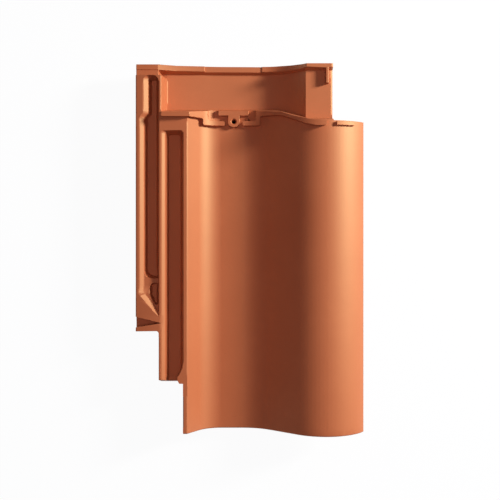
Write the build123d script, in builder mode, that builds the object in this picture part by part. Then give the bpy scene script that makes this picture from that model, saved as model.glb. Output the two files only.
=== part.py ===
from build123d import *
import os
from math import cos, radians, sin, sqrt, tan

# Interlocking clay roof tile, pressed and fired as one piece.
# Frame: +X to the roll side, +Y to the head (the upper end on the roof), +Z up, floor at Z = 0.
# The tile lies as it would on a floor, on its two nibs and its foot rib. All lengths are in mm.

# Driving dimensions: whole tile
tile_length = 451.3
shell_thickness = 12.0
support_depth = 12.0
press_draft = 13.0
head_draft = 10.0
foot_edge_radius = 1.6
cut_overrun = 20.0

# Driving dimensions: cover section, heights above the valley
rim_height = 30.0
rim_width = 5.2
left_slope_angle = 52.0
left_bend_radius = 34.0
valley_flat_width = 26.7
right_bend_radius = 60.0
rise_angle = 35.0
roll_height = 44.0
roll_radius = 60.0
roll_reach = 48.2
roll_shoulder_height = 23.0
roll_shoulder_drop = 4.0
roll_edge_height = 15.0

# Driving dimensions: side lock, from the left-hand edge inwards
side_draft_width = 1.2
outer_top_width = 4.7
outer_bevel_width = 5.2
outer_bevel_depth = 3.2
outer_channel_width = 18.4
middle_top_width = 3.5
middle_bevel_width = 4.2
middle_bevel_depth = 2.6
inner_channel_width = 22.0
outer_rib_height = 26.0
middle_rib_height = 28.5
outer_floor_height = 11.0
inner_floor_height = 12.0
outer_edge_radius = 1.8
lock_under_height = 1.0
lock_end_gap = 59.0
inner_channel_head_gap = 82.0
channel_corner_radius = 3.0

# Driving dimensions: lower end of the outer channel
flange_end_gap_outer = 123.8
flange_end_gap_inner = 125.0
flange_corner_radius = 3.0
drip_notch_gap_upper = 142.6
drip_notch_gap_inner = 134.7
drip_notch_gap_lower = 128.6
drip_notch_depth = 11.0
outer_channel_foot_gap = 187.4
outer_channel_foot_radius = 9.0
drain_reach = 3.0
drain_length = 6.0
rebate_side_gap = 171.0
rebate_end_gap = 149.7
rebate_end_slope = 7.0
rebate_side_slope = 3.6
rebate_radius = 7.0
pocket_floor_height = 14.0
pocket_gap = 183.4
pocket_inset = 6.9
pocket_side_length = 15.3
pocket_length = 32.1
pocket_bend_share = 0.6
pocket_corner_share = 0.2

# Driving dimensions: deflector at the open end of the inner channel
deflector_reach = 6.6
deflector_length = 22.2
deflector_gap = 61.2
deflector_tip_length = 4.0
deflector_foot_reach = 4.6
deflector_radius = 1.6

# Driving dimensions: head lock
head_width_right = 101.0
head_rise_left = 2.6
head_fall_middle = 2.4
head_drop = 4.4
head_rise_right = 28.0
head_middle_offset = -46.5
head_low_offset = 14.0
head_crease_offset = 68.5
head_plate_thickness = 12.0
head_bevel_width = 1.6
head_bevel_depth = 1.2
head_rim_width = 6.6
head_rim_height = 7.6
head_rim_slope_width = 2.8
head_rim_notch_depth = 1.4
head_rim_notch_left = -55.5
head_rim_notch_right = 15.5
head_end_draft = 4.0
corner_block_length = 14.7
corner_block_height = 19.2
corner_block_step = 1.0
corner_fall_offset = 1.5
corner_fall_width = 3.5
rim_fall_width = 22.0
head_channel_narrowing = 5.4
head_channel_narrow_length = 51.0
head_channel_narrow_radius = 5.0
head_channel_corner_share = 0.35
tooth_width = 3.6
tooth_length = 16.5
tooth_height = 8.0
tooth_inset = 5.2

# Driving dimensions: weir between head and cover
weir_height = 6.5
weir_left_gap = 60.3
weir_width = 5.6
weir_roll_gap = 71.7
weir_bend_offset = 37.0
weir_roll_offset = 74.0
weir_sweep_radius = 34.0
weir_end_offset = 91.8
weir_rib_width = 6.6
weir_rib_step = 3.0
riser_root_share = 0.8
roll_bar_offset = 104.4
roll_bar_length = 22.0
roll_bar_width = 4.6
roll_bar_height = 4.0
roll_bar_inset = 1.4

# Driving dimensions: fixing boss in the weir
boss_offset = -19.6
boss_gap = 68.7
boss_width = 14.2
boss_channel_width = 4.0
hole_diameter = 5.2
countersink_diameter = 8.0
frame_left_offset = -57.0
frame_right_offset = 13.0
frame_foot_gap = 74.1
frame_bar_width = 6.0
frame_side_width = 5.6
frame_corner_radius = 2.2
lintel_left_offset = -38.8
lintel_right_offset = -1.0
lintel_gap = 54.6
lintel_width = 6.7

# Driving dimensions: underside
nib_left_offset = -56.0
nib_right_offset = 20.0
nib_width = 28.0
nib_thickness = 16.0
nib_gap = 13.0
foot_rib_gap = 10.0
foot_rib_width = 9.0
foot_rib_left_offset = -58.0
foot_rib_right_offset = 112.0
inner_rib_offset = 95.0
inner_rib_width = 8.0
inner_rib_foot_gap = 192.0
inner_rib_head_gap = 75.0

# Turns of the cover section, and the width that they add up to
left_angle = radians(left_slope_angle)
right_angle = radians(rise_angle)
draft_slope = tan(radians(press_draft))
head_draft_slope = tan(radians(head_draft))
left_fall = rim_height - left_bend_radius * (1 - cos(left_angle))
left_run = left_fall / tan(left_angle) + left_bend_radius * sin(left_angle)
straight_rise = roll_height - (right_bend_radius + roll_radius) * (1 - cos(right_angle))
right_run = (right_bend_radius + roll_radius) * sin(right_angle) + straight_rise / tan(right_angle)
outer_lock_width = side_draft_width + outer_top_width + outer_bevel_width + outer_channel_width
inner_lock_width = middle_top_width + middle_bevel_width + inner_channel_width + rim_width
tile_width = outer_lock_width + inner_lock_width + left_run + valley_flat_width + right_run + roll_reach

# Ends, edges and levels worked out from the dimensions above
foot_y = -tile_length / 2
head_y = tile_length / 2
left_x = -tile_width / 2
right_x = tile_width / 2
valley_z = support_depth + shell_thickness
rim_z = valley_z + rim_height
crest_z = valley_z + roll_height
lock_under_z = valley_z + lock_under_height
outer_rib_z = valley_z + outer_rib_height
middle_rib_z = valley_z + middle_rib_height
outer_floor_z = valley_z + outer_floor_height
inner_floor_z = valley_z + inner_floor_height
roll_edge_z = valley_z + roll_edge_height
roll_shoulder_z = valley_z + roll_shoulder_height
corner_z = valley_z + corner_block_height
above_z = crest_z + cut_overrun

# Positions across the side lock
rib_edge_x = left_x + side_draft_width
outer_top_x = rib_edge_x + outer_top_width
outer_shoulder_x = outer_top_x + outer_bevel_width
middle_rib_x = outer_shoulder_x + outer_channel_width
middle_top_x = middle_rib_x + middle_top_width
middle_shoulder_x = middle_top_x + middle_bevel_width
rim_x = middle_shoulder_x + inner_channel_width
slope_x = rim_x + rim_width

# Turning points of the cover section
left_bend_x = slope_x + left_run
left_bend_z = valley_z + left_bend_radius
right_bend_x = left_bend_x + valley_flat_width
right_bend_z = valley_z + right_bend_radius
crest_x = right_x - roll_reach
roll_centre_z = crest_z - roll_radius


def section_at(y):
    """Plane across the tile at a distance along it; a positive extrude runs towards the foot."""
    return Plane.XZ.offset(-y)


def cover_points(depth):
    """Turning points of the cover section at a depth below its upper face, up to the roll."""
    return [
        (slope_x - depth * sin(left_angle), rim_z - depth * cos(left_angle)),
        (
            left_bend_x - (left_bend_radius + depth) * sin(left_angle),
            left_bend_z - (left_bend_radius + depth) * cos(left_angle),
        ),
        (left_bend_x, valley_z - depth),
        (right_bend_x, valley_z - depth),
        (
            right_bend_x + (right_bend_radius + depth) * sin(right_angle),
            right_bend_z - (right_bend_radius + depth) * cos(right_angle),
        ),
        (
            crest_x - (roll_radius - depth) * sin(right_angle),
            roll_centre_z + (roll_radius - depth) * cos(right_angle),
        ),
    ]


def cover_curve(depth, start_x, end_x):
    """Draw the cover section at a depth between two places across the tile; return its two ends."""
    rim_end, bend_a, low_a, low_b, bend_b, roll_start = cover_points(depth)
    radius = roll_radius - depth
    start = (start_x, rim_end[1] - (start_x - rim_end[0]) * tan(left_angle))
    end = (end_x, roll_centre_z + sqrt(radius**2 - (end_x - crest_x) ** 2))
    fall = Line(start, bend_a)
    TangentArc(bend_a, low_a, tangent=fall % 1)
    low = Line(low_a, low_b)
    TangentArc(low_b, bend_b, tangent=low % 1)
    rise = Line(bend_b, roll_start)
    TangentArc(roll_start, end, tangent=rise % 1)
    return start, end


def head_curve(lift, start_x):
    """Draw the head plate's upper face, raised by a lift, from the left to the right; return its ends."""
    level = valley_z + lift
    start = (start_x, level + head_rise_left)
    low = (head_low_offset, level - head_drop)
    crease = (head_crease_offset, level + head_rise_right)
    flat_end = (head_width_right - head_bevel_width, level + head_rise_right)
    end = (head_width_right, level + head_rise_right - head_bevel_depth)
    middle = (head_middle_offset, level - head_fall_middle)
    Line(start, middle)
    fall = Line(middle, low)
    TangentArc(low, crease, tangent=fall % 1)
    Polyline(crease, flat_end, end)
    return start, end


def plan_block(points, radii, bottom, top):
    """Upright block over a plan outline with rounded corners, between two levels."""
    with BuildPart() as block:
        with BuildSketch(Plane.XY.offset(bottom)):
            with BuildLine():
                FilletPolyline(*points, radius=radii, close=True)
            make_face()
        extrude(amount=top - bottom)
    return block.part


def plan_box(x_a, x_b, y_a, y_b, bottom, top):
    """Upright block over a rectangle between two levels."""
    return plan_block([(x_a, y_a), (x_b, y_a), (x_b, y_b), (x_a, y_b)], 0, bottom, top)


def pressed_hollow(*outlines):
    """Hollow pressed from above, through outlines given as points, corner radii and level, floor first."""
    with BuildPart() as hollow:
        for points, radii, level in outlines:
            with BuildSketch(Plane.XY.offset(level)):
                with BuildLine():
                    FilletPolyline(*points, radius=radii, close=True)
                make_face()
        loft(ruled=True)
    return hollow.part


# Cover: roll, valley and rim as one bent plate, its foot edge rounded
middle_depth = shell_thickness / 2
roll_under_x = crest_x + sqrt((roll_radius - shell_thickness) ** 2 - (roll_edge_z - roll_centre_z) ** 2)
flank_x = crest_x + sqrt(roll_radius**2 - (roll_shoulder_z - roll_centre_z) ** 2)
weir_y = head_y - weir_left_gap
roll_end_y = head_y - weir_roll_gap
cover_head_y = weir_y + cut_overrun
with BuildPart() as cover:
    with BuildSketch(section_at(cover_head_y)):
        with BuildLine():
            rim_top, roll_top = cover_curve(0, slope_x, flank_x)
            rim_under, roll_under = cover_curve(shell_thickness, rim_x, roll_under_x)
            Polyline(rim_top, (rim_x, rim_z), rim_under)
            Polyline(
                roll_top,
                (right_x, roll_shoulder_z - roll_shoulder_drop),
                (right_x, roll_edge_z),
                roll_under,
            )
        make_face()
    extrude(amount=cover_head_y - foot_y)
    fillet(cover.faces().sort_by(Axis.Y)[0].edges(), foot_edge_radius)

# Side lock: plate along the left-hand side, with a flange that ends short of the foot
lock_end_y = foot_y + lock_end_gap
lock_inner_x = slope_x + (rim_z - lock_under_z) / tan(left_angle)
flange_cut = plan_block(
    [
        (left_x - cut_overrun, foot_y + flange_end_gap_outer),
        (middle_rib_x, foot_y + flange_end_gap_inner),
        (middle_rib_x, foot_y),
        (left_x - cut_overrun, foot_y),
    ],
    [0, flange_corner_radius, 0, 0],
    0,
    above_z,
)
drip_notch = plan_block(
    [
        (left_x, foot_y + drip_notch_gap_upper),
        (middle_top_x, foot_y + drip_notch_gap_inner),
        (left_x, foot_y + drip_notch_gap_lower),
    ],
    0,
    outer_rib_z - drip_notch_depth,
    above_z,
)
with BuildPart() as lock_end_cut:
    with BuildSketch(Plane.YZ.offset(left_x)):
        with BuildLine():
            Polyline(
                (lock_end_y, lock_under_z),
                (lock_end_y, above_z),
                (lock_end_y + (above_z - lock_under_z) * draft_slope, above_z),
                close=True,
            )
        make_face()
    extrude(amount=rim_x - left_x)
with BuildPart() as side_lock:
    with BuildSketch(section_at(head_y)):
        with BuildLine():
            FilletPolyline(
                (left_x, lock_under_z),
                (rib_edge_x, outer_rib_z),
                (middle_rib_x, middle_rib_z),
                (middle_top_x, middle_rib_z),
                (rim_x, rim_z),
                (slope_x, rim_z),
                (lock_inner_x, lock_under_z),
                radius=[0, outer_edge_radius, 0, 0, 0, 0, 0],
                close=True,
            )
        make_face()
    extrude(amount=head_y - lock_end_y)
    add(flange_cut, mode=Mode.SUBTRACT)
    add(drip_notch, mode=Mode.SUBTRACT)
    add(lock_end_cut.part, mode=Mode.SUBTRACT)

# Weir: low rib along the head of the cover, with the frame round the boss
weir_top_z = rim_z + weir_height
weir_foot_y = weir_y - weir_width
frame_foot_y = head_y - frame_foot_gap
boss_y = head_y - boss_gap
lintel_foot_y = head_y - lintel_gap - lintel_width
channel_left_x = boss_offset - boss_width / 2 - boss_channel_width
channel_right_x = boss_offset + boss_width / 2 + boss_channel_width
frame_bar_y = frame_foot_y + frame_bar_width
riser_foot_y = roll_end_y - weir_rib_width
with BuildPart() as weir:
    with BuildSketch(section_at(cover_head_y)):
        with BuildLine():
            crown_x = slope_x + weir_height * tan(left_angle / 2)
            crown_start, crown_end = cover_curve(-weir_height, crown_x, weir_end_offset)
            root_start, root_end = cover_curve(middle_depth, rim_x, weir_end_offset)
            Polyline(crown_start, (middle_top_x, weir_top_z), (middle_top_x, outer_rib_z), root_start)
            Line(crown_end, root_end)
        make_face()
    extrude(amount=cover_head_y - riser_foot_y + cut_overrun)
    with BuildSketch(Plane.XY):
        with BuildLine():
            FilletPolyline(
                (middle_top_x, weir_foot_y),
                (frame_left_offset, weir_foot_y),
                (frame_left_offset, frame_foot_y),
                (channel_left_x, frame_foot_y),
                (channel_left_x, frame_bar_y),
                (frame_left_offset + frame_side_width, frame_bar_y),
                (frame_left_offset + frame_side_width, cover_head_y),
                (middle_top_x, cover_head_y),
                radius=frame_corner_radius,
                close=True,
            )
        make_face()
        with BuildLine():
            FilletPolyline(
                (frame_right_offset - frame_side_width, cover_head_y),
                (frame_right_offset - frame_side_width, frame_bar_y),
                (channel_right_x, frame_bar_y),
                (channel_right_x, frame_foot_y),
                (frame_right_offset, frame_foot_y),
                (frame_right_offset, weir_foot_y + weir_rib_step),
                (weir_bend_offset, weir_foot_y + weir_rib_step),
                (weir_roll_offset, riser_foot_y),
                (weir_end_offset, riser_foot_y),
                (weir_end_offset, cover_head_y),
                radius=[frame_corner_radius] * 6 + [weir_sweep_radius] * 2 + [frame_corner_radius] * 2,
                close=True,
            )
        make_face()
        with BuildLine():
            FilletPolyline(
                (lintel_left_offset, lintel_foot_y),
                (lintel_right_offset, lintel_foot_y),
                (lintel_right_offset, cover_head_y),
                (lintel_left_offset, cover_head_y),
                radius=frame_corner_radius,
                close=True,
            )
        make_face()
        with Locations((boss_offset, boss_y)):
            Circle(boss_width / 2)
            Rectangle(boss_width, lintel_foot_y - boss_y, align=(Align.CENTER, Align.MIN))
    extrude(amount=above_z, mode=Mode.INTERSECT)

# Bar across the end of the roll
bar_end_x = roll_bar_offset + roll_bar_length
bar_space = plan_box(roll_bar_offset, bar_end_x, foot_y, head_y, 0, above_z)
with BuildPart() as roll_bar:
    with BuildSketch(section_at(roll_end_y - roll_bar_inset)):
        with BuildLine():
            top_start, top_end = cover_curve(-roll_bar_height, slope_x, bar_end_x)
            low_start, low_end = cover_curve(middle_depth, slope_x, bar_end_x)
            Line(top_start, low_start)
            Line(top_end, low_end)
        make_face()
    extrude(amount=roll_bar_width)
    add(bar_space, mode=Mode.INTERSECT)

# Riser: the wall that carries the cover up from the head plate
with BuildPart() as riser:
    with BuildSketch(section_at(cover_head_y)):
        with BuildLine():
            riser_start, riser_end = cover_curve(middle_depth / 2, slope_x, head_width_right)
            root_left, root_right = head_curve(-head_plate_thickness * riser_root_share, middle_top_x)
            Polyline(riser_start, (middle_top_x, outer_rib_z), root_left)
            Line(riser_end, root_right)
        make_face()
    extrude(amount=cover_head_y - riser_foot_y)

# Head space: what is clear above the head plate, with the draft of the press on its walls
base_z = valley_z - head_drop - head_plate_thickness
space_left_x = middle_shoulder_x + (valley_z + head_rise_left - base_z) * head_draft_slope
space_weir_y = weir_y + (weir_top_z - base_z) * head_draft_slope
space_roll_y = roll_end_y + (crest_z + weir_height - base_z) * head_draft_slope
space_right_x = right_x + cut_overrun
space_head_y = head_y + cut_overrun
with BuildPart() as head_space:
    with BuildSketch(Plane.XY.offset(base_z)):
        with BuildLine():
            FilletPolyline(
                (space_left_x, space_weir_y),
                (weir_bend_offset, space_weir_y),
                (weir_roll_offset, space_roll_y),
                (space_right_x, space_roll_y),
                (space_right_x, space_head_y),
                (space_left_x, space_head_y),
                radius=[0, weir_sweep_radius, weir_sweep_radius, 0, 0, 0],
                close=True,
            )
        make_face()
    extrude(amount=above_z - base_z, taper=-head_draft)
side_space = plan_box(head_width_right, space_right_x, roll_end_y, space_head_y, 0, above_z)

# Head plate with its rim, the rim's notch and the tooth
head_rim_y = head_y - head_rim_width
head_slope_y = head_rim_y - head_rim_slope_width
corner_fall_x = middle_rib_x - corner_fall_offset
rim_fall_x = corner_fall_x + rim_fall_width
head_root = -head_plate_thickness
tooth_x = head_width_right - tooth_inset
tooth_z = valley_z + head_rise_right
tooth = plan_box(
    tooth_x - tooth_width,
    tooth_x,
    head_slope_y - tooth_length,
    head_rim_y,
    tooth_z - head_plate_thickness / 2,
    tooth_z + tooth_height,
)
with BuildPart() as head_plate:
    with BuildSketch(section_at(head_y)):
        with BuildLine():
            face_left, face_right = head_curve(0, middle_top_x)
            back_left, back_right = head_curve(head_root, middle_top_x)
            Line(face_left, back_left)
            Line(face_right, back_right)
        make_face()
    extrude(amount=head_y - riser_foot_y)


def head_rim_section(lift, corner_level):
    """Draw the head rim's section: the plate's face raised by a lift, rising to the corner on the left."""
    crown_left, crown_right = head_curve(lift, rim_fall_x)
    foot_left, foot_right = head_curve(head_root, rim_fall_x)
    Polyline(crown_left, (corner_fall_x, corner_level), (corner_fall_x, foot_left[1]), foot_left)
    Line(crown_right, foot_right)


with BuildPart() as head_rim:
    with BuildSketch(section_at(head_y)):
        with BuildLine():
            head_rim_section(head_rim_height, corner_z)
        make_face()
    extrude(amount=head_rim_width)

with BuildPart() as head_rim_slope:
    with BuildSketch(section_at(head_rim_y)):
        with BuildLine():
            head_rim_section(head_rim_height, corner_z)
        make_face()
    with BuildSketch(section_at(head_slope_y)):
        with BuildLine():
            head_rim_section(0, valley_z + head_rise_left)
        make_face()
    loft(ruled=True)

with BuildPart() as rim_notch:
    with BuildSketch(section_at(head_y)):
        with BuildLine():
            notch_left, notch_right = head_curve(head_rim_height - head_rim_notch_depth, middle_top_x)
            Polyline(notch_left, (middle_top_x, above_z), (head_width_right, above_z), notch_right)
        make_face()
        with Locations(((head_rim_notch_left + head_rim_notch_right) / 2, above_z)):
            Rectangle(
                head_rim_notch_right - head_rim_notch_left,
                2 * above_z,
                mode=Mode.INTERSECT,
            )
    extrude(amount=head_rim_width + head_rim_slope_width)

# Draft on the head end where the rim climbs to the right
rim_level_z = valley_z + head_rim_height
head_end_setback = (above_z - rim_level_z) * tan(radians(head_end_draft))
with BuildPart() as head_end_cut:
    with BuildSketch(Plane.YZ.offset(head_low_offset)):
        with BuildLine():
            Polyline(
                (head_y, rim_level_z),
                (head_y, above_z),
                (head_y - head_end_setback, above_z),
                close=True,
            )
        make_face()
    extrude(amount=head_width_right - head_low_offset)

# Hollows of the side lock
channel_foot_y = foot_y + outer_channel_foot_gap
channel_head_y = head_y - corner_block_length
narrow_foot_y = channel_head_y - head_channel_narrow_length
rib_slope = (middle_rib_height - outer_rib_height) / (middle_rib_x - rib_edge_x)
outer_top_z = outer_rib_z + outer_top_width * rib_slope
outer_shoulder_z = outer_top_z - outer_bevel_depth
outer_mouth_x = outer_top_x - (middle_rib_z - outer_top_z) * outer_bevel_width / outer_bevel_depth


def outer_channel_outline(x_left, level):
    """Plan of the outer channel at one level: round foot, drain towards the rib, narrower head."""
    inset = (middle_rib_z - level) * draft_slope
    x_right = middle_rib_x - inset
    foot = channel_foot_y + inset
    head = channel_head_y - inset
    narrow_x = x_left + head_channel_narrowing
    points = [
        (x_left, foot),
        (x_right + drain_reach, foot),
        (x_right, foot + drain_length),
        (x_right, head),
        (narrow_x, head),
        (narrow_x, narrow_foot_y + head_channel_narrowing),
        (x_left, narrow_foot_y),
    ]
    corner = (x_right - narrow_x) * head_channel_corner_share
    narrow = head_channel_narrow_radius
    return points, [outer_channel_foot_radius, 0, 0, corner, corner, narrow, narrow], level


outer_channel = pressed_hollow(
    outer_channel_outline(outer_shoulder_x + (outer_shoulder_z - outer_floor_z) * draft_slope, outer_floor_z),
    outer_channel_outline(outer_shoulder_x, outer_shoulder_z),
)


def rebate_outline(x_left, level, side_drop, end_drop):
    """Plan of the bevelled rebate round the channel and the pocket, with a slanting foot end."""
    inset = (middle_rib_z - level) * draft_slope
    x_right = middle_rib_x - inset
    head = channel_head_y - inset
    narrow_x = x_left + head_channel_narrowing
    points = [
        (x_left, foot_y + rebate_side_gap - side_drop),
        (x_right, foot_y + rebate_end_gap - end_drop),
        (x_right, head),
        (narrow_x, head),
        (narrow_x, narrow_foot_y + head_channel_narrowing),
        (x_left, narrow_foot_y),
    ]
    corner = (x_right - narrow_x) * head_channel_corner_share
    narrow = head_channel_narrow_radius
    return points, [rebate_radius, 0, corner, corner, narrow, narrow], level


outer_rebate = pressed_hollow(
    rebate_outline(outer_shoulder_x, outer_shoulder_z, 0, 0),
    rebate_outline(outer_mouth_x, middle_rib_z, rebate_side_slope, rebate_end_slope),
)

pocket_floor_z = valley_z + pocket_floor_height
pocket_head_y = foot_y + pocket_gap
pocket_x = outer_shoulder_x + pocket_inset


def pocket_outline(level):
    """Plan of the pocket below the channel at one level, straight along the rib and round elsewhere."""
    inset = (outer_shoulder_z - level) * draft_slope
    x_right = middle_rib_x - (middle_rib_z - level) * draft_slope
    points = [
        (pocket_x + inset, pocket_head_y - inset),
        (pocket_x + inset, pocket_head_y - pocket_side_length),
        (x_right, pocket_head_y - pocket_length + inset),
        (x_right, pocket_head_y - inset),
    ]
    bend = (x_right - pocket_x - inset) * pocket_bend_share
    corner = (x_right - pocket_x - inset) * pocket_corner_share
    return points, [bend, bend, corner, corner], level


lower_pocket = pressed_hollow(pocket_outline(pocket_floor_z), pocket_outline(outer_shoulder_z))

middle_shoulder_z = middle_rib_z - middle_bevel_depth
middle_mouth_x = middle_top_x - (rim_z - middle_rib_z) * middle_bevel_width / middle_bevel_depth
inner_head_y = head_y - inner_channel_head_gap
inner_foot_y = lock_end_y - cut_overrun


def inner_channel_outline(x_left, level):
    """Plan of the inner channel at one level; it runs out at the end of the lock."""
    inset = (rim_z - level) * draft_slope
    x_right = rim_x - inset
    head = inner_head_y - inset
    points = [(x_left, inner_foot_y), (x_right, inner_foot_y), (x_right, head), (x_left, head)]
    return points, channel_corner_radius, level


inner_channel = pressed_hollow(
    inner_channel_outline(
        middle_shoulder_x + (middle_shoulder_z - inner_floor_z) * draft_slope,
        inner_floor_z,
    ),
    inner_channel_outline(middle_shoulder_x, middle_shoulder_z),
    inner_channel_outline(middle_mouth_x, rim_z),
)

# Deflector: a round-nosed guide that turns water from the rim into the inner channel's open end
deflector_foot_y = foot_y + deflector_gap
deflector_x = rim_x - deflector_reach
deflector = plan_block(
    [
        (slope_x, deflector_foot_y),
        (slope_x, deflector_foot_y + deflector_length),
        (rim_x, deflector_foot_y + deflector_length),
        (deflector_x, deflector_foot_y + 2 * deflector_tip_length),
        (deflector_x, deflector_foot_y + deflector_tip_length),
        (rim_x - deflector_foot_reach, deflector_foot_y),
    ],
    [0, 0, 0, deflector_radius, deflector_radius, deflector_radius],
    lock_under_z,
    rim_z,
)

# Corner block at the head of the outer channel, lower than the ribs
corner_y = head_y - corner_block_length
corner_step_z = corner_z - corner_block_step
corner_foot_z = valley_z + head_rise_left
corner_foot_x = corner_fall_x + corner_fall_width
corner_cut = plan_box(left_x, corner_fall_x, corner_y, head_rim_y, corner_step_z, above_z)
corner_rim_cut = plan_box(left_x, corner_fall_x, head_rim_y, head_y, corner_z, above_z)
rib_end_cut = plan_box(corner_fall_x, middle_shoulder_x, corner_y, head_y, corner_foot_z, above_z)
with BuildPart() as corner_fall:
    with BuildSketch(section_at(head_rim_y)):
        with BuildLine():
            Polyline(
                (corner_fall_x, corner_step_z),
                (corner_foot_x, corner_foot_z),
                (corner_foot_x, corner_foot_z - head_plate_thickness),
                (corner_fall_x, corner_foot_z - head_plate_thickness),
                close=True,
            )
        make_face()
    extrude(amount=head_rim_y - corner_y)

# Underside: two nibs that hook over the batten, a foot rib and the rib that locks into the next tile
nib_head_y = head_y - nib_gap
nib_foot_y = nib_head_y - nib_thickness
nib_top_z = valley_z - head_plate_thickness / 2
nibs = [
    plan_box(x, x + nib_width, nib_foot_y, nib_head_y, 0, nib_top_z)
    for x in (nib_left_offset, nib_right_offset)
]

foot_rib_y = foot_y + foot_rib_gap + foot_rib_width
foot_rib_space = plan_box(foot_rib_left_offset, foot_rib_right_offset, foot_y, head_y, 0, above_z)
with BuildPart() as foot_rib:
    with BuildSketch(section_at(foot_rib_y)):
        with BuildLine():
            upper_start, upper_end = cover_curve(middle_depth, slope_x, foot_rib_right_offset)
            under_start, under_end = cover_curve(
                shell_thickness + support_depth, slope_x - support_depth, foot_rib_right_offset
            )
            Line(upper_start, under_start)
            Line(upper_end, under_end)
        make_face()
    extrude(amount=foot_rib_width)
    add(foot_rib_space, mode=Mode.INTERSECT)

inner_rib = plan_box(
    inner_rib_offset,
    inner_rib_offset + inner_rib_width,
    foot_y + inner_rib_foot_gap,
    head_y - inner_rib_head_gap,
    roll_edge_z,
    crest_z - shell_thickness,
)

# The whole tile
with BuildPart() as roof_tile:
    add(cover.part)
    add(side_lock.part)
    add(weir.part)
    add(roll_bar.part)
    add(riser.part)
    add(head_space.part, mode=Mode.SUBTRACT)
    add(side_space, mode=Mode.SUBTRACT)
    add(corner_cut, mode=Mode.SUBTRACT)
    add(corner_rim_cut, mode=Mode.SUBTRACT)
    add(rib_end_cut, mode=Mode.SUBTRACT)
    add(corner_fall.part)
    add(head_plate.part)
    add(head_rim.part)
    add(head_rim_slope.part)
    add(rim_notch.part, mode=Mode.SUBTRACT)
    add(head_end_cut.part, mode=Mode.SUBTRACT)
    add(tooth)
    add(outer_channel, mode=Mode.SUBTRACT)
    add(outer_rebate, mode=Mode.SUBTRACT)
    add(lower_pocket, mode=Mode.SUBTRACT)
    add(inner_channel, mode=Mode.SUBTRACT)
    add(deflector)
    add(nibs)
    add(foot_rib.part)
    add(inner_rib)
    with Locations(Plane.XY.offset(valley_z + weir_height)):
        with Locations((boss_offset, boss_y)):
            CounterSinkHole(hole_diameter / 2, countersink_diameter / 2)

roof_tile.part.label = "roof_tile"
os.makedirs("parts", exist_ok=True)
export_step(roof_tile.part, "parts/roof_tile.step")
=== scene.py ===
import logging
import math
from dataclasses import dataclass, field
from enum import Enum
from typing import Any

import bmesh
import bpy
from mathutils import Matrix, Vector
from mathutils.bvhtree import BVHTree
from mathutils.kdtree import KDTree


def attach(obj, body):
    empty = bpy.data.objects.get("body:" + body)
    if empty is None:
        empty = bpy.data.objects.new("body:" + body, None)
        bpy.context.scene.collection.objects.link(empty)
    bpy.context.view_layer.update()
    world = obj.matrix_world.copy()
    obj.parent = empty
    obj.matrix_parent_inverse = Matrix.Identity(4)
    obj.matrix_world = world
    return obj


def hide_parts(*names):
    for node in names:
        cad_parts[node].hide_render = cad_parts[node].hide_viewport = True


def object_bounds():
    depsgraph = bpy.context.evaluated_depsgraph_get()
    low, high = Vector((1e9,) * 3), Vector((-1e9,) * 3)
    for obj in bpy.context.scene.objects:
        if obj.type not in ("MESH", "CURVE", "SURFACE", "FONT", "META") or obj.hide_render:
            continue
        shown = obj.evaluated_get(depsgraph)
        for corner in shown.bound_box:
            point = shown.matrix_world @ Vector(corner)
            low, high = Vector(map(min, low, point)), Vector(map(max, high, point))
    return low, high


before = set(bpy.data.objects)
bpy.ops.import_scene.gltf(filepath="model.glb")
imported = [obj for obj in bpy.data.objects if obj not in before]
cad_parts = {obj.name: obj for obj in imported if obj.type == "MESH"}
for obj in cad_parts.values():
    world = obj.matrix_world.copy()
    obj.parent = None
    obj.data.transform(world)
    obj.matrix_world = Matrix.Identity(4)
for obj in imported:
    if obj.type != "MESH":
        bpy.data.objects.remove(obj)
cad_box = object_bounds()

LOG = logging.getLogger("clay_tile")

MM = 0.001
PHOTO_PIXELS = 500
SENSOR_MM = 36.0
WHITE_HEX = "#ffffff"

# Sockets of the colour mix node, which share their names with its other types
MIX_FIRST = 6
MIX_SECOND = 7
MIX_RESULT = 2


class Lamp(Enum):
    """The studio's lamps, by what they do."""

    KEY = "key_softbox"
    FILL = "overhead_fill"


def srgb(code: str) -> tuple[float, float, float, float]:
    """Turn an sRGB hex colour into linear RGBA.

    Args:
        code: Colour as "#rrggbb".

    Returns:
        Linear red, green, blue and an alpha of one.
    """
    channels = []
    for start in (1, 3, 5):
        value = int(code[start:start + 2], 16) / 255
        if value <= 0.04045:
            channels.append(value / 12.92)
        else:
            channels.append(((value + 0.055) / 1.055) ** 2.4)
    return (channels[0], channels[1], channels[2], 1.0)


def add_node(
    tree: bpy.types.NodeTree,
    kind: str,
    settings: dict[str, Any] | None = None,
    inputs: dict[Any, Any] | None = None,
) -> bpy.types.Node:
    """Add a shader node with its settings, input values and links.

    Args:
        tree: Node tree that takes the node.
        kind: Blender's type name of the node.
        settings: Node properties by name.
        inputs: Values or output sockets, by input name or index.

    Returns:
        The new node.
    """
    node = tree.nodes.new(kind)
    for name, value in (settings or {}).items():
        setattr(node, name, value)
    for key, value in (inputs or {}).items():
        if isinstance(value, bpy.types.NodeSocket):
            tree.links.new(value, node.inputs[key])
        else:
            node.inputs[key].default_value = value
    return node


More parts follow.
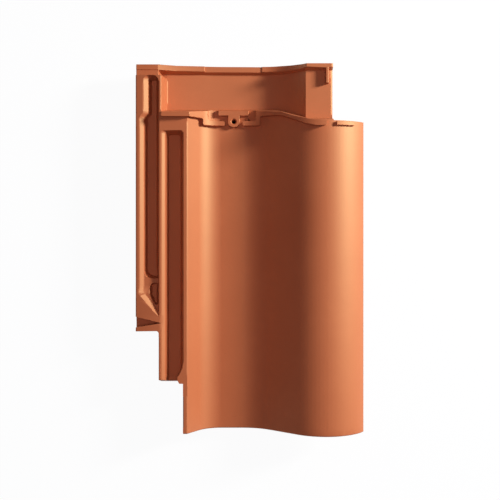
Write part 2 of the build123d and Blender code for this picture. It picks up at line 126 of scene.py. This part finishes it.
@dataclass(frozen=True)
class FiredClay:
    """Unglazed red clay, pressed in a mould and fired.

    The eye gets an even brick red with a soft satin sheen, faint clouds from the kiln and a very fine grain.
    """

    name: str = "fired_red_clay"
    pale_hex: str = "#bd623a"
    dark_hex: str = "#b55a34"
    mottle_hex: str = "#b75c36"
    grain_hex: str = "#904128"
    sheen_hex: str = "#fff2b4"
    roughness: float = 0.58
    ior: float = 1.65
    sheen_level: float = 1.0
    cloud_mm: float = 70.0
    mottle_mm: float = 11.0
    grain_mm: float = 1.8
    ripple_mm: float = 30.0
    cloud_detail: float = 3.0
    mottle_detail: float = 4.0
    grain_detail: float = 2.0
    ripple_detail: float = 1.0
    cloud_range: tuple[float, float] = (0.3, 0.72)
    mottle_range: tuple[float, float] = (0.3, 0.6)
    grain_range: tuple[float, float] = (0.6, 0.78)
    mottle_share: float = 0.5
    grain_share: float = 0.16
    grain_bump_mm: float = 0.03
    ripple_bump_mm: float = 0.08

    def build(self) -> bpy.types.Material:
        """Make the material.

        Returns:
            The node material, ready for a slot.
        """
        material = bpy.data.materials.new(self.name)
        material.use_nodes = True
        tree = material.node_tree
        tree.nodes.clear()
        place = add_node(tree, "ShaderNodeTexCoord").outputs["Object"]

        # Four layers of noise by the real size of their features; the clay's own grain is finer than a pixel,
        # so it is drawn coarser.
        layers = {
            "cloud": (self.cloud_mm, self.cloud_detail),
            "mottle": (self.mottle_mm, self.mottle_detail),
            "grain": (self.grain_mm, self.grain_detail),
            "ripple": (self.ripple_mm, self.ripple_detail),
        }
        noise = {}
        for layer, (size_mm, detail) in layers.items():
            settings = {"Vector": place, "Scale": 1 / (size_mm * MM), "Detail": detail}
            noise[layer] = add_node(tree, "ShaderNodeTexNoise", None, settings).outputs["Fac"]

        # Each layer moves the colour a little way: kiln clouds, then mottle, then dark grains.
        colour = srgb(self.dark_hex)
        steps = [
            ("cloud", self.cloud_range, 1.0, self.pale_hex),
            ("mottle", self.mottle_range, self.mottle_share, self.mottle_hex),
            ("grain", self.grain_range, self.grain_share, self.grain_hex),
        ]
        for layer, (low, high), share, tone in steps:
            span = {"Value": noise[layer], "From Min": low, "From Max": high, "To Min": 0.0, "To Max": share}
            factor = add_node(tree, "ShaderNodeMapRange", None, span).outputs["Result"]
            colour = add_node(
                tree,
                "ShaderNodeMix",
                {"data_type": "RGBA"},
                {"Factor": factor, MIX_FIRST: colour, MIX_SECOND: srgb(tone)},
            ).outputs[MIX_RESULT]

        # A slow ripple from the press, and the grain on top of it.
        normal = None
        for layer, depth_mm in (("ripple", self.ripple_bump_mm), ("grain", self.grain_bump_mm)):
            relief = {"Strength": 1.0, "Distance": depth_mm * MM, "Height": noise[layer]}
            if normal:
                relief["Normal"] = normal
            normal = add_node(tree, "ShaderNodeBump", None, relief).outputs["Normal"]
        shader = add_node(
            tree,
            "ShaderNodeBsdfPrincipled",
            None,
            {
                "Base Color": colour,
                "Roughness": self.roughness,
                "IOR": self.ior,
                "Specular IOR Level": self.sheen_level,
                "Specular Tint": srgb(self.sheen_hex),
                "Normal": normal,
            },
        )
        add_node(tree, "ShaderNodeOutputMaterial", None, {"Surface": shader.outputs["BSDF"]})
        return material


@dataclass(frozen=True)
class PaleFloor:
    """Matt white studio floor. Lengths in metres.

    The eye gets a plain white ground with a faint shadow of the tile, and a dark disc of painted shade on the
    floor under the fixing hole.
    """

    name: str = "pale_floor"
    paint_hex: str = "#f6f5f3"
    glow_share: float = 0.95
    # Centre, radius and colour of the dark disc of painted shade under the fixing hole.
    painted_shade_centre: tuple[float, float, float] = (-0.0196, 0.157, 0.0)
    painted_shade_radius: float = 0.03
    dark_hex: str = "#1a0f0a"

    def build(self) -> bpy.types.Material:
        """Make the material.

        Returns:
            The node material, ready for a slot.
        """
        material = bpy.data.materials.new(self.name)
        material.use_nodes = True
        tree = material.node_tree
        tree.nodes.clear()
        glow = add_node(tree, "ShaderNodeEmission", None, {"Color": srgb(WHITE_HEX), "Strength": 1.0})

        # Camera and mirrored rays see the white glow; light from the lamps still falls on the paint.
        path = add_node(tree, "ShaderNodeLightPath")
        seen = path.outputs["Is Camera Ray"]
        for other in ("Is Glossy Ray", "Is Transmission Ray"):
            seen = add_node(
                tree,
                "ShaderNodeMath",
                {"operation": "MAXIMUM"},
                {0: seen, 1: path.outputs[other]},
            ).outputs["Value"]

        # Under the fixing hole a dark disc of painted shade replaces the paint, and there is no glow there.
        place = add_node(tree, "ShaderNodeTexCoord").outputs["Object"]
        gap = add_node(
            tree,
            "ShaderNodeVectorMath",
            {"operation": "DISTANCE"},
            {0: place, 1: self.painted_shade_centre},
        ).outputs["Value"]
        open_floor = add_node(
            tree,
            "ShaderNodeMath",
            {"operation": "GREATER_THAN"},
            {0: gap, 1: self.painted_shade_radius},
        ).outputs["Value"]
        tone = add_node(
            tree,
            "ShaderNodeMix",
            {"data_type": "RGBA"},
            {"Factor": open_floor, MIX_FIRST: srgb(self.dark_hex), MIX_SECOND: srgb(self.paint_hex)},
        ).outputs[MIX_RESULT]
        paint = add_node(tree, "ShaderNodeBsdfDiffuse", None, {"Color": tone})
        lit = add_node(
            tree,
            "ShaderNodeMath",
            {"operation": "MULTIPLY"},
            {0: seen, 1: open_floor},
        ).outputs["Value"]
        share = add_node(
            tree,
            "ShaderNodeMath",
            {"operation": "MULTIPLY"},
            {0: lit, 1: self.glow_share},
        ).outputs["Value"]
        mix = add_node(
            tree,
            "ShaderNodeMixShader",
            None,
            {0: share, 1: paint.outputs["BSDF"], 2: glow.outputs["Emission"]},
        )
        add_node(tree, "ShaderNodeOutputMaterial", None, {"Surface": mix.outputs["Shader"]})
        return material


@dataclass(frozen=True)
class CoverSection:
    """True section of the cover's upper face: slope, valley, rise and roll. Lengths in mm, angles in radians.

    The sizes are those of the solid. The frame's facets are long and uneven there, and this evens them out.
    """

    valley_z: float = 24.0
    slope_x: float = -75.598
    rim_height: float = 30.0
    left_angle: float = math.radians(52.0)
    left_radius: float = 34.0
    left_bend_x: float = -35.577
    right_bend_x: float = -8.877
    right_radius: float = 60.0
    right_angle: float = math.radians(35.0)
    crest_x: float = 91.798
    roll_height: float = 44.0
    roll_radius: float = 60.0
    flank_x: float = 137.3
    foot_y: float = -224.1
    head_y: float = 147.0
    step_mm: float = 3.0
    close_mm: float = 3.0

    def arcs(self) -> list[tuple[float, float]]:
        """Find where the section bends.

        Returns:
            Start and end across the tile of the left bend, the right bend and the roll.
        """
        return [
            (self.left_bend_x - self.left_radius * math.sin(self.left_angle), self.left_bend_x),
            (self.right_bend_x, self.right_bend_x + self.right_radius * math.sin(self.right_angle)),
            (self.crest_x - self.roll_radius * math.sin(self.right_angle), self.flank_x),
        ]

    def height(self, x: float) -> float:
        """Work out the level of the upper face.

        Args:
            x: Place across the tile.

        Returns:
            The level above the floor.
        """
        (slope_end, _), (_, rise_start), (roll_start, _) = self.arcs()
        if x < slope_end:
            level = self.rim_height - (x - self.slope_x) * math.tan(self.left_angle)
        elif x < self.left_bend_x:
            level = self.left_radius - math.sqrt(self.left_radius**2 - (x - self.left_bend_x) ** 2)
        elif x < self.right_bend_x:
            level = 0.0
        elif x < rise_start:
            level = self.right_radius - math.sqrt(self.right_radius**2 - (x - self.right_bend_x) ** 2)
        elif x < roll_start:
            bend_height = self.right_radius * (1 - math.cos(self.right_angle))
            level = bend_height + (x - rise_start) * math.tan(self.right_angle)
        else:
            drop = self.roll_radius - math.sqrt(self.roll_radius**2 - (x - self.crest_x) ** 2)
            level = self.roll_height - drop
        return self.valley_z + level

    def holds(self, point: Vector) -> bool:
        """Tell whether a point lies on the upper face.

        Args:
            point: The point, in metres.

        Returns:
            Whether it is close to the section, short of the weir.
        """
        x, y, z = point / MM
        inside = self.slope_x <= x <= self.flank_x and self.foot_y < y < self.head_y
        return inside and abs(z - self.height(x)) < self.close_mm

    def lay(self, shell: bmesh.types.BMesh) -> None:
        """Cut the bends of the upper face into even strips and lay them on the true section.

        Args:
            shell: The shell, changed in place.
        """
        faces = [face for face in shell.faces if all(self.holds(vert.co) for vert in face.verts)]
        edges = {edge for face in faces for edge in face.edges}
        verts = {vert for face in faces for vert in face.verts}
        part = [*verts, *edges, *faces]
        for start, end in self.arcs():
            strips = round((end - start) / self.step_mm)
            for strip in range(strips + 1):
                cut = start + (end - start) * strip / strips
                part = bmesh.ops.bisect_plane(
                    shell,
                    geom=part,
                    plane_co=(cut * MM, 0.0, 0.0),
                    plane_no=(1.0, 0.0, 0.0),
                )["geom"]
        for item in part:
            if isinstance(item, bmesh.types.BMVert):
                item.co.z = self.height(item.co.x / MM) * MM


@dataclass
class Tile:
    """The fired tile itself, with its pressed edges softened. Angles in degrees."""

    node: str = "roof_tile"
    slot: str = "fired_clay"
    name: str = "clay_tile"
    weld_mm: float = 0.01
    flat_angle: float = 0.3
    sharp_angle: float = 22.0
    edge_mm: float = 1.3
    edge_segments: int = 3
    probe_mm: float = 1.0
    near_share: float = 0.42
    least_share: float = 0.3
    beside_share: float = 0.5
    stray_mm: float = 0.9
    stray_cosine: float = 0.2
    mend_rounds: int = 16
    mend_mm: float = 2.6
    mend_share: float = 0.5
    mend_least_share: float = 0.2
    crease_angle: float = 38.0
    band_mm: float = 9.0
    cover: CoverSection = field(default_factory=CoverSection)
    finish: FiredClay = field(default_factory=FiredClay)

    def edge_room(self, edges: list[bmesh.types.BMEdge]) -> list[float]:
        """Find how far each sharp edge may be rounded before it meets the next one.

        Args:
            edges: The sharp edges.

        Returns:
            A share of the full rounding for each edge, from nought to one.
        """
        probes = []
        for index, edge in enumerate(edges):
            start, end = (vert.co for vert in edge.verts)
            steps = max(1, int(edge.calc_length() / (self.probe_mm * MM)))
            for step in range(steps):
                probes.append((start.lerp(end, (step + 0.5) / steps), index))
        tree = KDTree(len(probes))
        for number, (point, _) in enumerate(probes):
            tree.insert(point, number)
        tree.balance()
        reach = self.edge_mm * MM / self.near_share
        room = [1.0] * len(edges)
        for index, edge in enumerate(edges):
            for face in edge.link_faces:
                width = face.calc_area() / max(side.calc_length() for side in face.edges)
                room[index] = min(room[index], width / reach)
        for point, index in probes:
            start, end = (vert.co for vert in edges[index].verts)
            along = (end - start).normalized()
            for other, number, gap in tree.find_range(point, reach):
                beside = abs((other - point).dot(along)) < gap * self.beside_share
                if probes[number][1] != index and beside:
                    room[index] = min(room[index], gap / reach)
        return [share if share > self.least_share else 0.0 for share in room]

    def welded(self) -> bmesh.types.BMesh:
        """Copy the frame's mesh, weld it, join its flat faces and cut it across into short bands.

        A long face would carry the slant of its ends along the whole tile; short ones keep it at the ends.

        Returns:
            The welded shell.
        """
        shell = bmesh.new()
        shell.from_mesh(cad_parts[self.node].data)
        bmesh.ops.remove_doubles(shell, verts=shell.verts, dist=self.weld_mm * MM)
        bmesh.ops.dissolve_limit(
            shell,
            angle_limit=math.radians(self.flat_angle),
            verts=shell.verts,
            edges=shell.edges,
        )
        (_, foot, _), (_, head, _) = cad_box
        bands = round((head - foot) / (self.band_mm * MM))
        for band in range(1, bands):
            bmesh.ops.bisect_plane(
                shell,
                geom=[*shell.verts, *shell.edges, *shell.faces],
                dist=self.weld_mm * MM,
                plane_co=(0.0, foot + (head - foot) * band / bands, 0.0),
                plane_no=(0.0, 1.0, 0.0),
            )
        self.cover.lay(shell)
        for face in shell.faces:
            face.smooth = True
        return shell

    def rounded(self, shell: bmesh.types.BMesh) -> bpy.types.Mesh:
        """Round the weighted edges of a shell.

        Args:
            shell: The welded shell with its edge weights.

        Returns:
            The rounded mesh.
        """
        mesh = bpy.data.meshes.new("shell")
        shell.to_mesh(mesh)
        carrier = bpy.data.objects.new("shell", mesh)
        bpy.context.scene.collection.objects.link(carrier)
        rounding = carrier.modifiers.new("soft_edges", "BEVEL")
        rounding.width = self.edge_mm * MM
        rounding.segments = self.edge_segments
        rounding.limit_method = "WEIGHT"
        rounding.offset_type = "OFFSET"
        rounding.use_clamp_overlap = False
        rounding.face_strength_mode = "FSTR_ALL"
        graph = bpy.context.evaluated_depsgraph_get()
        result = bpy.data.meshes.new_from_object(carrier.evaluated_get(graph))
        bpy.data.objects.remove(carrier)
        bpy.data.meshes.remove(mesh)
        return result

    def strays(self, mesh: bpy.types.Mesh, skin: BVHTree) -> list[Vector]:
        """Find where a rounded mesh has left the skin that it was made from, or folded over.

        Args:
            mesh: The rounded mesh.
            skin: The skin before the rounding.

        Returns:
            The corners of the faces that went wrong.
        """
        wrong = []
        for face in mesh.polygons:
            corners = [mesh.vertices[index].co for index in face.vertices]
            _, normal, _, _ = skin.find_nearest(face.center)
            off = any(skin.find_nearest(corner)[3] > self.stray_mm * MM for corner in corners)
            if off or normal.dot(face.normal) < self.stray_cosine:
                wrong.extend(corner.copy() for corner in corners)
        return wrong

    def shape(self) -> bpy.types.Mesh:
        """Round the tile's sharp edges, by less where there is little room and not at all where there is none.

        Returns:
            The softened mesh.
        """
        shell = self.welded()
        skin = BVHTree.FromBMesh(shell)
        weight = shell.edges.layers.float.new("bevel_weight_edge")
        sharp = [
            edge
            for edge in shell.edges
            if edge.is_manifold and edge.calc_face_angle() > math.radians(self.sharp_angle)
        ]
        for edge, share in zip(sharp, self.edge_room(sharp)):
            edge[weight] = share
        mesh = self.rounded(shell)
        for _ in range(self.mend_rounds):
            wrong = self.strays(mesh, skin)
            LOG.info("rounding: %d faces, %d stray corners", len(mesh.polygons), len(wrong))
            if not wrong:
                break
            near = KDTree(len(wrong))
            for number, point in enumerate(wrong):
                near.insert(point, number)
            near.balance()
            for edge in sharp:
                gap = min(near.find(vert.co)[2] for vert in edge.verts)
                if gap < self.mend_mm * MM:
                    smaller = edge[weight] * self.mend_share
                    edge[weight] = smaller if smaller > self.mend_least_share else 0.0
            bpy.data.meshes.remove(mesh)
            mesh = self.rounded(shell)
        shell.free()
        mesh.name = self.name
        self.crease(mesh)
        return mesh

    def crease(self, mesh: bpy.types.Mesh) -> None:
        """Split the shading where an edge stayed sharp, and where such an edge runs into a rounding.

        Args:
            mesh: The rounded mesh, changed in place.
        """
        shell = bmesh.new()
        shell.from_mesh(mesh)
        for edge in shell.edges:
            edge.smooth = edge.calc_face_angle(0.0) < math.radians(self.crease_angle)
        ends = [vert for vert in shell.verts if sum(not edge.smooth for edge in vert.link_edges) == 1]
        for vert in ends:
            rest = [edge for edge in vert.link_edges if edge.smooth]
            max(rest, key=lambda edge: edge.calc_face_angle(0.0)).smooth = False
        shell.to_mesh(mesh)
        shell.free()

    def build(self) -> bpy.types.Object:
        """Make the dressed tile in place of its frame node.

        Returns:
            The tile's object.
        """
        tile = bpy.data.objects.new(self.name, self.shape())
        bpy.context.scene.collection.objects.link(tile)
        tile.data.materials.clear()
        tile.data.materials.append(self.finish.build())
        shading = tile.modifiers.new("even_normals", "WEIGHTED_NORMAL")
        shading.mode = "CORNER_ANGLE"
        shading.use_face_influence = True
        shading.keep_sharp = True
        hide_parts(self.node)
        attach(tile, "root")
        return tile


@dataclass
class Studio:
    """Floor, light and camera as in the photograph, looking straight down. Lengths in metres.

    The overhead lamp and the surround are a little cooler than the key, so the shades keep some blue.
    """

    floor_size: float = 6.0
    view_point: tuple[float, float] = (0.0, 0.02835)
    valley_height: float = 0.024
    view_distance: float = 0.996
    focal_pixels: float = 796.0
    axis_pixel: tuple[float, float] = (249.5, 225.0)
    key_place: tuple[float, float, float] = (1.6, 0.66, 0.87)
    key_size: tuple[float, float] = (0.26, 0.44)
    key_watts: float = 53.0
    fill_height: float = 1.6
    fill_size: float = 0.8
    fill_watts: float = 8.8
    ambient: float = 0.075
    shade_hex: str = "#e4e2ff"
    floor_finish: PaleFloor = field(default_factory=PaleFloor)

    def build_floor(self) -> bpy.types.Object:
        """Lay the floor under the tile.

        Returns:
            The floor's object.
        """
        sheet = bmesh.new()
        bmesh.ops.create_grid(sheet, x_segments=1, y_segments=1, size=self.floor_size / 2)
        mesh = bpy.data.meshes.new("floor")
        sheet.to_mesh(mesh)
        sheet.free()
        mesh.materials.append(self.floor_finish.build())
        floor = bpy.data.objects.new("floor", mesh)
        bpy.context.scene.collection.objects.link(floor)
        return floor

    def build_key(self) -> bpy.types.Object:
        """Hang the soft main lamp to the right of the tile.

        Returns:
            The lamp's object.
        """
        lamp = bpy.data.lights.new(Lamp.KEY.value, "AREA")
        lamp.shape = "RECTANGLE"
        lamp.size, lamp.size_y = self.key_size
        lamp.energy = self.key_watts
        key = bpy.data.objects.new(Lamp.KEY.value, lamp)
        bpy.context.scene.collection.objects.link(key)
        key.location = self.key_place
        direction = Vector(self.key_place) - Vector((0.0, 0.0, self.valley_height))
        key.rotation_euler = direction.to_track_quat("Z", "Y").to_euler()
        return key

    def build_fill(self) -> bpy.types.Object:
        """Hang the weak lamp over the tile, which opens up the channels and the shaded slope.

        Returns:
            The lamp's object.
        """
        lamp = bpy.data.lights.new(Lamp.FILL.value, "AREA")
        lamp.shape = "DISK"
        lamp.size = self.fill_size
        lamp.energy = self.fill_watts
        lamp.color = srgb(self.shade_hex)[:3]
        fill = bpy.data.objects.new(Lamp.FILL.value, lamp)
        bpy.context.scene.collection.objects.link(fill)
        fill.location = (0.0, 0.0, self.fill_height)
        fill.visible_glossy = False
        return fill

    def build_world(self) -> None:
        """Set an even, weak light from all round."""
        world = bpy.data.worlds.new("studio")
        world.use_nodes = True
        tree = world.node_tree
        tree.nodes.clear()
        light = add_node(
            tree,
            "ShaderNodeBackground",
            None,
            {"Color": srgb(self.shade_hex), "Strength": self.ambient},
        )
        add_node(tree, "ShaderNodeOutputWorld", None, {"Surface": light.outputs["Background"]})
        bpy.context.scene.world = world

    def build_camera(self) -> bpy.types.Object:
        """Set the camera over the tile at the photograph's viewing distance.

        Returns:
            The camera's object.
        """
        lens = bpy.data.cameras.new("camera")
        lens.sensor_width = SENSOR_MM
        lens.lens = self.focal_pixels / PHOTO_PIXELS * SENSOR_MM
        middle = PHOTO_PIXELS / 2
        lens.shift_x = (middle - self.axis_pixel[0]) / PHOTO_PIXELS
        lens.shift_y = (self.axis_pixel[1] - middle) / PHOTO_PIXELS
        camera = bpy.data.objects.new("camera", lens)
        bpy.context.scene.collection.objects.link(camera)
        camera.location = (*self.view_point, self.valley_height + self.view_distance)
        bpy.context.scene.camera = camera
        return camera

    def build(self) -> list[bpy.types.Object]:
        """Build the world, the floor, the lamps and the camera.

        Returns:
            The objects that were made.
        """
        self.build_world()
        return [self.build_floor(), self.build_key(), self.build_fill(), self.build_camera()]


def main() -> None:
    """Build the tile and its studio."""
    bpy.context.scene.view_settings.view_transform = "Standard"
    tile = Tile().build()
    LOG.info("piece %s: %d faces", tile.name, len(tile.data.polygons))
    for item in Studio().build():
        LOG.info("stage %s", item.name)


if __name__ == "__main__":
    logging.basicConfig(level=logging.INFO, format="%(name)s: %(message)s")
    main()
